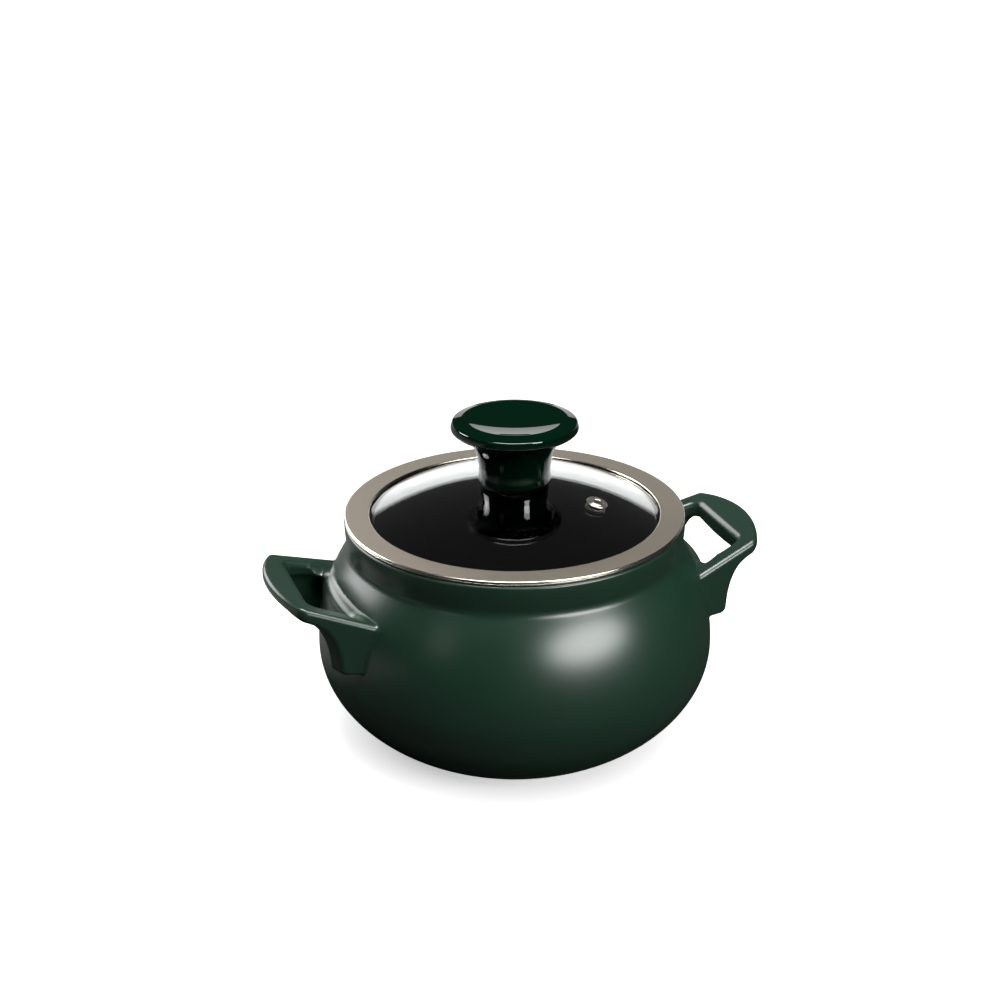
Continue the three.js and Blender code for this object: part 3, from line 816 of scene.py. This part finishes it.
def rim_band():
    """The steel ring: a broad flat top, an outer hem with a groove, and a skirt folded under the glass."""
    groove = 0.5
    groove_edge = 0.12
    sheet_edge = 0.15
    bend = 0.2
    fold_edge = 0.4
    skirt_edge = 0.8
    under = BAND_TOP - BAND_FLANGE
    waist = BAND_TOP - BAND_FLANGE / 2
    skirt_inner = GLASS_RADIUS + GAP
    skirt_outer = skirt_inner + BAND_SHEET
    fold_top = BAND_FOLD_UNDER + BAND_SHEET
    section = rounded(
        [
            (band_inner, BAND_TOP, BAND_ROUND),
            (band_inner, BAND_TOP - BAND_SHEET, sheet_edge),
            (skirt_inner, BAND_TOP - BAND_SHEET, bend),
            (skirt_inner, fold_top, bend),
            (skirt_inner - FOLD_WIDTH, fold_top, fold_edge),
            (skirt_inner - FOLD_WIDTH, BAND_FOLD_UNDER, fold_edge),
            (skirt_outer, BAND_FOLD_UNDER, skirt_edge),
            (skirt_outer, under, fold_edge),
            (BAND_OUTER - groove, under, bend),
            (BAND_OUTER, under + groove, bend),
            (BAND_OUTER, waist - groove / 2, groove_edge),
            (BAND_OUTER - groove, waist, groove_edge),
            (BAND_OUTER, waist + groove / 2, groove_edge),
            (BAND_OUTER, BAND_TOP, BAND_ROUND),
        ]
    )
    piece = turned("rim_band", section, 384, rolled_steel)
    centres, normals = faces(piece)
    flat = 0.98
    level = 0.1
    repaint(piece, brushed_steel, (normals[:, 2] > flat) & (centres[:, 2] > BAND_TOP - level))
    return piece


def vent_eyelet():
    """A tube with a flange and a raised collar above the glass, clinched over a washer below it."""
    corner = 0.15
    clinch_edge = 0.2
    edge = 0.3
    collar_edge = 0.4
    flange_edge = 0.5
    under = dome_radius + GAP
    top = under + VENT_FLANGE
    clinch_top = dome_under - GAP - VENT_WASHER - GAP
    clinch_under = clinch_top - VENT_CLINCH
    section = rounded(
        [
            (VENT_BORE_RADIUS, clinch_under, edge),
            (VENT_CLINCH_RADIUS, clinch_under, edge),
            (VENT_CLINCH_RADIUS, clinch_top, clinch_edge),
            (VENT_BARREL_RADIUS, clinch_top, corner),
            (VENT_BARREL_RADIUS, under, corner),
            (VENT_FLANGE_RADIUS, under, edge),
            (VENT_FLANGE_RADIUS, top - VENT_FLANGE_DROP, flange_edge),
            (VENT_BORE_RADIUS + VENT_COLLAR_FOOT, top - VENT_COLLAR_HEIGHT, collar_edge),
            (VENT_BORE_RADIUS + VENT_COLLAR, top, collar_edge),
            (VENT_BORE_RADIUS, top, collar_edge),
        ]
    )
    piece = turned("vent_eyelet_tube", section, 72, pressed_steel)
    piece.data.transform(vent_place())
    return piece


def flat_ring(name, radii, heights, edge, finish):
    """A washer or bush from its inner and outer radius and its lower and upper height."""
    (inner, rim), (low, high) = radii, heights
    corners = [(inner, low, edge), (rim, low, edge), (rim, high, edge), (inner, high, edge)]
    return turned(name, rounded(corners, steps=4), 72, finish)


def vent_washer():
    """The steel disc under the glass that the eyelet is clinched over."""
    edge = 0.2
    top = dome_under - GAP
    radii = (VENT_BARREL_RADIUS + GAP, VENT_WASHER_RADIUS)
    piece = flat_ring("vent_back_washer", radii, (top - VENT_WASHER, top), edge, pressed_steel)
    piece.data.transform(vent_place())
    return piece


def mushroom_knob():
    """A waisted stem that flares into a cap, with a ridge round its rim and a shallow dish on top."""
    bore_edge = 0.2
    mouth_edge = 0.3
    base_edge = 0.6
    dish_shares = [0.9, *np.linspace(0.85, 0, 18)]
    rim_middle = KNOB_CAP_RADIUS - KNOB_RIM_ROUND
    rim_height = KNOB_TOP - KNOB_RIM_OVER
    rim_under = KNOB_TOP - KNOB_RIM
    waist_top = KNOB_BASE + KNOB_WAIST_HEIGHT
    bore = INSERT_RADIUS + GAP
    knots = np.array(
        [
            (KNOB_WAIST_RADIUS, waist_top),
            (KNOB_WAIST_RADIUS, (waist_top + rim_under) / 2),
            (KNOB_WAIST_RADIUS + KNOB_FLARE, rim_under - 2 * KNOB_FLARE),
            (rim_middle, rim_under),
        ]
    )
    flare = bent(knots, 32)
    base = rounded(
        [
            (0, KNOB_BASE + KNOB_BORE_DEPTH, 0),
            (bore, KNOB_BASE + KNOB_BORE_DEPTH, bore_edge),
            (bore, KNOB_BASE, mouth_edge),
            (KNOB_WAIST_RADIUS, KNOB_BASE, base_edge),
            (KNOB_WAIST_RADIUS, waist_top, 0),
        ],
        closed=False,
    )
    dish = [(KNOB_DISH_RADIUS * s, KNOB_TOP - KNOB_DISH * (1 - s**2)) for s in dish_shares]
    crest = rounded(
        [
            (KNOB_CAP_RADIUS, rim_height, 0),
            (KNOB_CAP_RADIUS - KNOB_RIDGE_INSET, KNOB_TOP - KNOB_RIDGE_DROP, KNOB_RIDGE_ROUND),
            (rim_middle, KNOB_TOP, KNOB_CREST_ROUND),
            (KNOB_DISH_RADIUS, KNOB_TOP, KNOB_DISH_ROUND),
            (*dish[0], 0),
        ],
        closed=False,
    )
    section = [
        *base[:-1],
        *[tuple(p) for p in flare],
        *arc(rim_middle, rim_height, KNOB_RIM_ROUND, KNOB_RIM_START, 0, 8, KNOB_RIM_UNDER),
        *crest[1:],
        *dish[1:],
    ]
    return turned("mushroom_knob", section, 192, gloss_glaze)


def knob_seal():
    """A washer that lies on the dome and ends flat under the knob."""
    high = outer("knob_seal")[1]
    section = [
        *dome(dome_radius + GAP, GLASS_HOLE_RADIUS, high.x, 12),
        (high.x, high.z),
        (GLASS_HOLE_RADIUS, high.z),
    ]
    return turned("knob_upper_seal", [*section, section[0]], 96, silicone)


def lower_seal():
    """A washer under the dome, with a sleeve that keeps the screw off the glass."""
    low, high = outer("lower_seal")
    sleeve_wall = 1.0
    sleeve = screw_hole + sleeve_wall
    section = [
        (screw_hole, low.z),
        (high.x, low.z),
        *dome(dome_under - GAP, high.x, sleeve, 8),
        (sleeve, high.z),
        (screw_hole, high.z),
    ]
    return turned("knob_lower_seal", [*section, section[0]], 96, silicone)


def screw_washer():
    """The steel disc between the screw's head and the lower seal."""
    edge = 0.25
    low, high = outer("screw_washer")
    return flat_ring("knob_screw_washer", (screw_hole, high.x), (low.z, high.z), edge, pressed_steel)


def knob_insert():
    """The bush in the knob that the screw holds in."""
    edge = 0.4
    low, high = outer("knob_insert")
    return flat_ring("knob_brass_insert", (screw_hole, high.x), (low.z, high.z), edge, brass)


def knob_screw():
    """A pan-head screw with rolled threads and a cross recess, driven up from inside the lid."""
    head_top = SCREW_UNDER + SCREW_HEAD
    pan = SCREW_HEAD - SCREW_HEAD_SIDE
    pitch = 0.8
    thread_depth = 0.35
    section = [
        *arc(0, head_top - SCREW_HEAD_SIDE, SCREW_HEAD_RADIUS, -math.pi / 2, 0, 12, pan),
        (SCREW_HEAD_RADIUS, head_top),
        (SCREW_RADIUS, head_top),
    ]
    for height in np.arange(head_top + SCREW_SHANK, SCREW_TOP - pitch, pitch):
        section.append((SCREW_RADIUS, height))
        section.append((SCREW_RADIUS - thread_depth, height + pitch / 2))
    section += [
        (SCREW_RADIUS, SCREW_TOP - SCREW_BEVEL),
        (SCREW_RADIUS - SCREW_BEVEL, SCREW_TOP),
        (0, SCREW_TOP),
    ]
    piece = turned("knob_pan_screw", section, 64, pressed_steel)
    half = np.array((RECESS_LENGTH, RECESS_WIDTH, 2 * RECESS_DEPTH)) / 2 * MM
    corners = [tuple(half * (a, b, c)) for a in (-1, 1) for b in (-1, 1) for c in (-1, 1)]
    walls = [(0, 1, 3, 2), (4, 6, 7, 5), (0, 4, 5, 1), (2, 3, 7, 6), (0, 2, 6, 4), (1, 5, 7, 3)]
    lift = Matrix.Translation((0, 0, SCREW_UNDER * MM))
    for angle in (0, math.pi / 2):
        slot = bpy.data.objects.new("cross_slot", bpy.data.meshes.new("cross_slot"))
        slot.data.from_pydata(corners, [], walls)
        slot.data.transform(lift @ Matrix.Rotation(angle, 4, "Z"))
        scene.collection.objects.link(slot)
        cut(piece, slot)
    return piece


# Every piece stands for one CAD node and rides on that node's body

pieces = {}
right_handle, left_handle = handles()
for piece, node, body, finish in (
    (pot_body(), "pot_body", "pot", "matt_glaze"),
    (right_handle, "right_handle", "pot", "matt_glaze"),
    (left_handle, "left_handle", "pot", "matt_glaze"),
    (glass_dome(), "lid_glass", "lid", "tempered_glass"),
    (rim_band(), "lid_rim_band", "lid", "steel_band"),
    (vent_eyelet(), "vent_eyelet", "lid", "bright_steel"),
    (vent_washer(), "vent_washer", "lid", "bright_steel"),
    (mushroom_knob(), "knob", "lid", "gloss_glaze"),
    (knob_insert(), "knob_insert", "lid", "brass"),
    (knob_seal(), "knob_seal", "lid", "silicone"),
    (lower_seal(), "lower_seal", "lid", "silicone"),
    (screw_washer(), "screw_washer", "lid", "bright_steel"),
    (knob_screw(), "knob_screw", "lid", "bright_steel"),
):
    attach(piece, body)
    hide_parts(node)
    pieces[node] = piece


# Studio


def direction(azimuth, elevation):
    """A unit vector. Azimuth 0 points to the front, -Y, and 90 to the right, +X."""
    a, e = math.radians(azimuth), math.radians(elevation)
    return Vector((math.sin(a) * math.cos(e), -math.cos(a) * math.cos(e), math.sin(e)))


BACK = direction(160, 0)
BACK_LEFT = direction(-155, 0)
STUDIO_MIDDLE = Vector((0, 0, 0.09))


def beyond(tree, place, way, limit):
    """1 where a place or a ray reaches further than a limit along a way."""
    along = add(tree, "ShaderNodeVectorMath", {0: place, 1: way}, operation="DOT_PRODUCT")
    return add(tree, "ShaderNodeMath", {0: along.outputs["Value"], 1: limit}, operation="GREATER_THAN")


def sees_white(tree, path, white_part):
    """1 for the rays that see a white surface: all from the camera, and those through glass and off mirrors
    that meet its white part."""
    mirror = add(
        tree,
        "ShaderNodeMath",
        {0: path["Is Glossy Ray"], 1: path["Is Singular Ray"]},
        operation="MULTIPLY",
    )
    clear = add(
        tree,
        "ShaderNodeMath",
        {0: mirror.outputs["Value"], 1: path["Is Transmission Ray"]},
        operation="MAXIMUM",
    )
    met = add(
        tree,
        "ShaderNodeMath",
        {0: clear.outputs["Value"], 1: white_part.outputs["Value"]},
        operation="MULTIPLY",
    )
    return add(
        tree,
        "ShaderNodeMath",
        {0: met.outputs["Value"], 1: path["Is Camera Ray"]},
        operation="MAXIMUM",
    )


def studio_floor():
    """A white floor that keeps the pot's shadow and fades to plain white away from it. To the lamps it is a
    dark table, paler at the back left, so that it throws little light back onto the pot."""
    half = 6.0
    drop = 0.05 * MM
    mirrored_from = 0.45
    shadow_start = 0.066
    shadow_end = 0.098
    shadow_lift = 0.5
    table_start = 0.11
    table_end = 0.22
    table_dark = 0.03
    table_pale = 0.36
    material, tree = new_material("white_floor")
    path = add(tree, "ShaderNodeLightPath").outputs
    place = add(tree, "ShaderNodeTexCoord").outputs["Object"]
    seen = sees_white(tree, path, beyond(tree, place, BACK, mirrored_from))
    distance = add(tree, "ShaderNodeVectorMath", {0: place}, operation="LENGTH")
    lift = add(
        tree,
        "ShaderNodeMapRange",
        {
            "Value": distance.outputs["Value"],
            "From Min": shadow_start,
            "From Max": shadow_end,
            "To Min": shadow_lift,
            "To Max": 1.0,
        },
    )
    paint = add(tree, "ShaderNodeBsdfDiffuse", {"Color": (0.8, 0.8, 0.8, 1.0)})
    glow = add(tree, "ShaderNodeEmission", {"Strength": lift.outputs["Result"]})
    white = add(tree, "ShaderNodeAddShader", {0: paint.outputs["BSDF"], 1: glow.outputs["Emission"]})
    side = add(tree, "ShaderNodeVectorMath", {0: place, 1: BACK_LEFT}, operation="DOT_PRODUCT")
    shade = add(
        tree,
        "ShaderNodeMapRange",
        {
            "Value": side.outputs["Value"],
            "From Min": table_start,
            "From Max": table_end,
            "To Min": table_dark,
            "To Max": table_pale,
        },
    )
    table = add(tree, "ShaderNodeBsdfDiffuse", {"Color": shade.outputs["Result"]})
    both = add(
        tree,
        "ShaderNodeMixShader",
        {0: seen.outputs["Value"], 1: table.outputs["BSDF"], 2: white.outputs["Shader"]},
    )
    add(tree, "ShaderNodeOutputMaterial", {"Surface": both.outputs["Shader"]})
    mesh = bpy.data.meshes.new("floor")
    corners = [(x * half, y * half, -drop) for x, y in ((-1, -1), (1, -1), (1, 1), (-1, 1))]
    mesh.from_pydata(corners, [], [(0, 1, 2, 3)])
    mesh.materials.append(material)
    floor = bpy.data.objects.new("floor", mesh)
    scene.collection.objects.link(floor)
    return floor


def studio_world():
    """A dim room with a white wall behind. Its limits are parts of a ray's unit vector."""
    dim = 0.012
    wall_top = 0.26
    wall_from = 0.3
    world = bpy.data.worlds.new("studio")
    scene.world = world
    world.use_nodes = True
    tree = world.node_tree
    tree.nodes.clear()
    path = add(tree, "ShaderNodeLightPath").outputs
    ways = add(tree, "ShaderNodeTexCoord").outputs["Generated"]
    parts = add(tree, "ShaderNodeSeparateXYZ", {"Vector": ways})
    low = add(tree, "ShaderNodeMath", {0: parts.outputs["Z"], 1: wall_top}, operation="LESS_THAN")
    behind = beyond(tree, ways, BACK, wall_from)
    wall = add(
        tree,
        "ShaderNodeMath",
        {0: low.outputs["Value"], 1: behind.outputs["Value"]},
        operation="MULTIPLY",
    )
    seen = sees_white(tree, path, wall)
    strength = add(
        tree,
        "ShaderNodeMapRange",
        {"Value": seen.outputs["Value"], "To Min": dim, "To Max": 1.0},
    )
    sky = add(
        tree,
        "ShaderNodeBackground",
        {"Color": (1.0, 1.0, 1.0, 1.0), "Strength": strength.outputs["Result"]},
    )
    add(tree, "ShaderNodeOutputWorld", {"Surface": sky.outputs["Background"]})


def softbox(name, azimuth, elevation, distance, size, radiance, lit):
    """A lamp with an oval face of an even radiance, where 1 is white. It points at the pot's middle, and
    flags keep its light off everything but the lit pieces."""
    face = math.pi / 4 * size[0] * size[1]
    lamp = bpy.data.lights.new(name, "AREA")
    lamp.shape = "ELLIPSE"
    lamp.size, lamp.size_y = size
    lamp.energy = radiance * math.pi * face
    holder = bpy.data.objects.new(name, lamp)
    holder.location = STUDIO_MIDDLE + distance * direction(azimuth, elevation)
    holder.rotation_euler = (STUDIO_MIDDLE - holder.location).to_track_quat("-Z", "Y").to_euler()
    holder.visible_camera = False
    scene.collection.objects.link(holder)
    holder.light_linking.receiver_collection = bpy.data.collections.new(name)
    for piece in lit:
        holder.light_linking.receiver_collection.objects.link(piece)


def camera():
    """The photograph's view, fitted to the lid band and both handles."""
    distance = 0.95
    azimuth = -19.74
    elevation = 23.38
    target = Vector((0, 0, BAND_TOP * MM))
    lens = bpy.data.cameras.new("camera")
    lens.lens = 67.5
    lens.sensor_width = 36.0
    lens.shift_x = -0.0147
    lens.shift_y = 0.0089
    holder = bpy.data.objects.new("camera", lens)
    holder.location = target + distance * direction(azimuth, elevation)
    holder.rotation_euler = (target - holder.location).to_track_quat("-Z", "Y").to_euler()
    scene.collection.objects.link(holder)
    scene.camera = holder


white_floor = studio_floor()
studio_world()
band = pieces["lid_rim_band"]
knob = pieces["knob"]
bright = [band, pieces["vent_eyelet"]]
pot = [pieces[node] for node in ("pot_body", "right_handle", "left_handle")]
lid = [piece for piece in pieces.values() if piece not in pot]

# The first lamp makes the highlight on the belly, and the next three light the glaze and the band
softbox("front_right", 23.5, 19, 1.2, (1.0, 0.48), 8.8, [*pot, *bright, white_floor])
softbox("front_left", -62, 20, 1.2, (0.3, 0.45), 0.5, pieces.values())
softbox("front_top", 38, 56, 1.2, (0.5, 0.3), 6.0, [*pot, *bright])
softbox("overhead", -20, 80, 1.1, (0.9, 0.5), 13.0, [*pot, *bright, knob, white_floor])

# The back lamps edge the left shoulder and the handles
softbox("back_left", -144, 20, 1.2, (1.3, 0.8), 4.0, [*pot, band])
softbox("back_fill", 170, 24, 1.2, (1.6, 0.8), 0.13, pot)

# The rest are seen as reflections in the glass, the steel and the knob
softbox("back_spot", -135, 34, 1.2, (0.5, 0.35), 14.0, lid)
softbox("back_card", 160, 7, 1.4, (4.0, 0.46), 0.9, lid)
softbox("band_card", -175, 30, 1.0, (1.0, 0.5), 0.1, bright)
softbox("glass_card", 160, 55, 1.2, (2.6, 2.2), 0.055, [pieces["lid_glass"]])
softbox("knob_key", 24, 36, 1.2, (0.36, 0.36), 30.0, [knob])
camera()
scene.view_settings.view_transform = "Standard"
